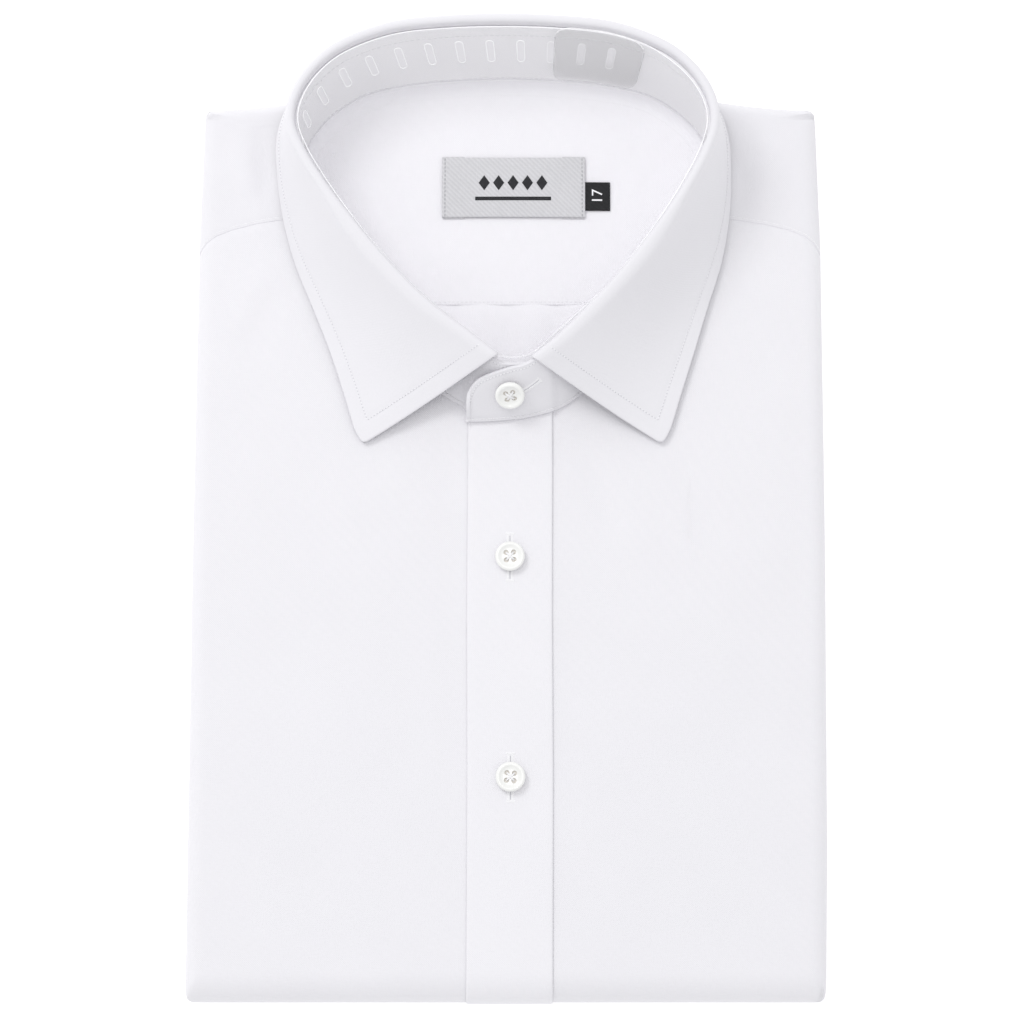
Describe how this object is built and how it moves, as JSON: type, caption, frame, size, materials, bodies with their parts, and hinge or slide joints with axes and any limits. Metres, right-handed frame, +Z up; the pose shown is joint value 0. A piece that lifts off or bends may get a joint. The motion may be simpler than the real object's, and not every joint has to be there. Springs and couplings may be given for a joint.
{
  "type": "folded dress shirt",
  "caption": "Long-sleeved dress shirt, buttoned and folded flat, front up, with a standing turned-down collar held open by a clear strip.",
  "frame": {"origin": "on the surface that the shirt lies on, below the middle of its whole box, collar included", "axes": "+X across the shirt to the wearer's left, +Y up the shirt from its bottom fold to the collar, +Z up from the surface"},
  "size_m": [0.2468, 0.3807, 0.0529],
  "materials": {
    "white_cloth": "fine plain-woven cotton, cool white",
    "collar_cloth": "the same cotton, fused and pressed",
    "clear_plastic": "thin clear film with punched slots",
    "woven_label": "grey damask-woven tape",
    "tab_cloth": "black woven tape",
    "button_shell": "pearly off-white, polished"
  },
  "bodies": {
    "root": {"hidden_layers": "white_cloth", "back": "white_cloth", "yoke_lining": "white_cloth", "front_left": "white_cloth", "front_right": "white_cloth", "placket": "white_cloth", "yoke": "white_cloth", "collar_stand": "collar_cloth", "collar_leaf": "collar_cloth", "collar_support": "clear_plastic", "neck_label": "woven_label", "size_tab": "tab_cloth", "button_collar": "button_shell", "button_1": "button_shell", "button_2": "button_shell"}
  },
  "joints": []
}
